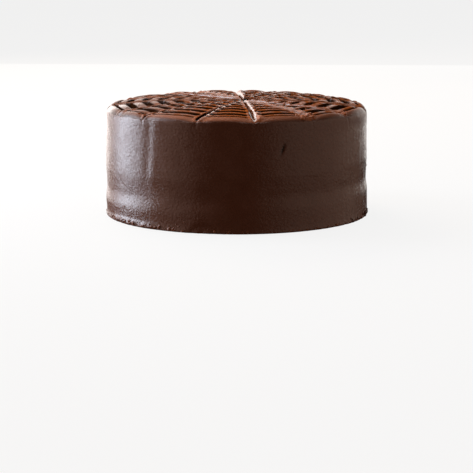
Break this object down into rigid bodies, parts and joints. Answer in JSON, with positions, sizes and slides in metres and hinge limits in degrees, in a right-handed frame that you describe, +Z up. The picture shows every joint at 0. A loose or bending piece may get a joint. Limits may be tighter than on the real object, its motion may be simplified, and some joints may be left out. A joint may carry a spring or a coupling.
{
  "type": "chocolate cake",
  "caption": "Whole round tall chocolate layer cake, frosted all over, with a smooth wall and a top combed in rings and marked for slicing.",
  "frame": {"origin": "middle of the flat base that the cake rests on", "axes": "+Z up through the cake's middle, the side that the picture shows faces -Y, +X is its right"},
  "size_m": [0.2372, 0.2368, 0.1],
  "materials": {
    "chocolate_frosting": "semi-gloss dark chocolate frosting, smoothed on the wall and combed in rings on top"
  },
  "bodies": {
    "root": {"frosted_cake": "chocolate_frosting"}
  },
  "joints": []
}
